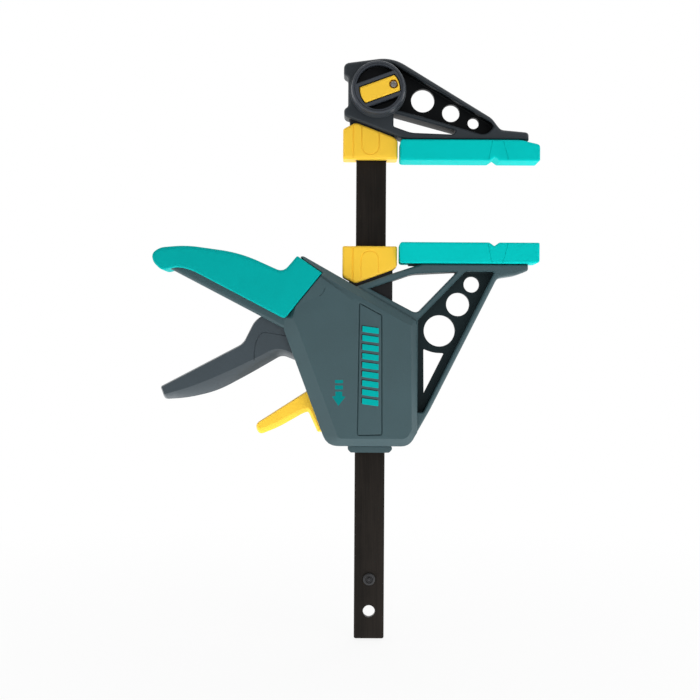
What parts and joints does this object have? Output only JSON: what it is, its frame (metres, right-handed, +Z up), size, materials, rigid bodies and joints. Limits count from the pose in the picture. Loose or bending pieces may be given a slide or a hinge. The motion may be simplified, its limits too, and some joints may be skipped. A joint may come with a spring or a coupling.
{
  "type": "f-clamp",
  "caption": "One-handed f-clamp: a flat steel bar with a fixed jaw, a sliding jaw with soft pad, squeeze trigger, release lever and padded handle.",
  "frame": {"origin": "centre of the bar's lower end face", "axes": "+Z up the bar towards the fixed jaw, +X the way the jaws reach, -Y the front with the knob; the handle reaches along -X"},
  "size_m": [0.2561, 0.0402, 0.386],
  "materials": {
    "burnished_steel": "burnished brown-black steel with fine lengthwise streaks",
    "bright_steel": "zinc-plated steel",
    "jaw_plastic": "fine-grained anthracite glass-filled nylon",
    "case_plastic": "fine-grained grey-green glass-filled nylon",
    "trigger_plastic": "fine-grained slate nylon",
    "black_plastic": "plain black nylon",
    "yellow_plastic": "satin yellow moulding",
    "teal_pad": "soft matt teal pad",
    "teal_grip": "soft matt teal overmoulding"
  },
  "bodies": {
    "bar_and_fixed_jaw": {"bar": "burnished_steel", "stop_pin": "bright_steel", "fixed_jaw": "jaw_plastic", "fixed_jaw_sleeve": "black_plastic", "fixed_jaw_guard": "yellow_plastic"},
    "fixed_pad": {"fixed_jaw_pad": "teal_pad"},
    "lock": {"lock_knob": "jaw_plastic", "lock_knob_insert": "yellow_plastic", "lock_knob_screw": "bright_steel", "lock_shaft": "bright_steel", "lock_clip": "bright_steel"},
    "slider": {"slider_frame": "case_plastic", "mechanism_cover": "case_plastic", "cover_screw_1": "bright_steel", "cover_screw_2": "bright_steel", "cover_screw_3": "bright_steel", "cover_screw_4": "bright_steel", "cover_screw_5": "bright_steel", "handle_grip": "teal_grip", "slider_sleeve": "black_plastic", "slider_guard": "yellow_plastic", "lower_bar_guide": "case_plastic", "trigger_pin": "bright_steel", "release_pin": "bright_steel", "brake_fulcrum_pin": "bright_steel", "drive_spring": "bright_steel", "brake_spring": "bright_steel"},
    "sliding_pad": {"slider_pad": "teal_pad"},
    "trigger": {"trigger_lever": "trigger_plastic"},
    "drive_plates": {"drive_plate_1": "bright_steel", "drive_plate_2": "bright_steel"},
    "release": {"release_lever": "yellow_plastic"},
    "brake": {"brake_plate": "bright_steel"}
  },
  "joints": [
    {"name": "slider_slide", "type": "slide", "parent": "bar_and_fixed_jaw", "child": "slider", "axis": [0, 0, 1], "range_m": [-0.08, 0.0537]},
    {"name": "knob_turn", "type": "hinge", "parent": "bar_and_fixed_jaw", "child": "lock", "pos_m": [0.0041, 0, 0.3651], "axis": [0, -1, 0], "range_deg": [0, 90]},
    {"name": "fixed_pad_pull", "type": "slide", "parent": "bar_and_fixed_jaw", "child": "fixed_pad", "axis": [1, 0, 0], "range_m": [0, 0.082]},
    {"name": "sliding_pad_pull", "type": "slide", "parent": "slider", "child": "sliding_pad", "axis": [1, 0, 0], "range_m": [0, 0.082]},
    {"name": "trigger_squeeze", "type": "hinge", "parent": "slider", "child": "trigger", "pos_m": [-0.03044, 0, 0.206], "axis": [0, 1, 0], "range_deg": [0, 20], "stiffness_Nm_per_rad": 0.8, "springref_deg": -11.46},
    {"name": "plates_push", "type": "slide", "parent": "slider", "child": "drive_plates", "axis": [0, 0, -1], "range_m": [0, 0.00565], "deforming": ["drive_spring"]},
    {"name": "release_press", "type": "hinge", "parent": "slider", "child": "release", "pos_m": [-0.02673, 0, 0.15109], "axis": [0, 1, 0], "range_deg": [0, 12], "stiffness_Nm_per_rad": 0.25, "springref_deg": -11.46},
    {"name": "brake_tilt", "type": "hinge", "parent": "slider", "child": "brake", "pos_m": [0.016, 0, 0.14513], "axis": [0, -1, 0], "range_deg": [0, 4.66], "deforming": ["brake_spring"]}
  ],
  "couplings": [
    {"joint": "plates_push", "follows": "trigger_squeeze", "m_per_rad": 0.01616},
    {"joint": "brake_tilt", "follows": "release_press", "ratio": 0.387}
  ]
}
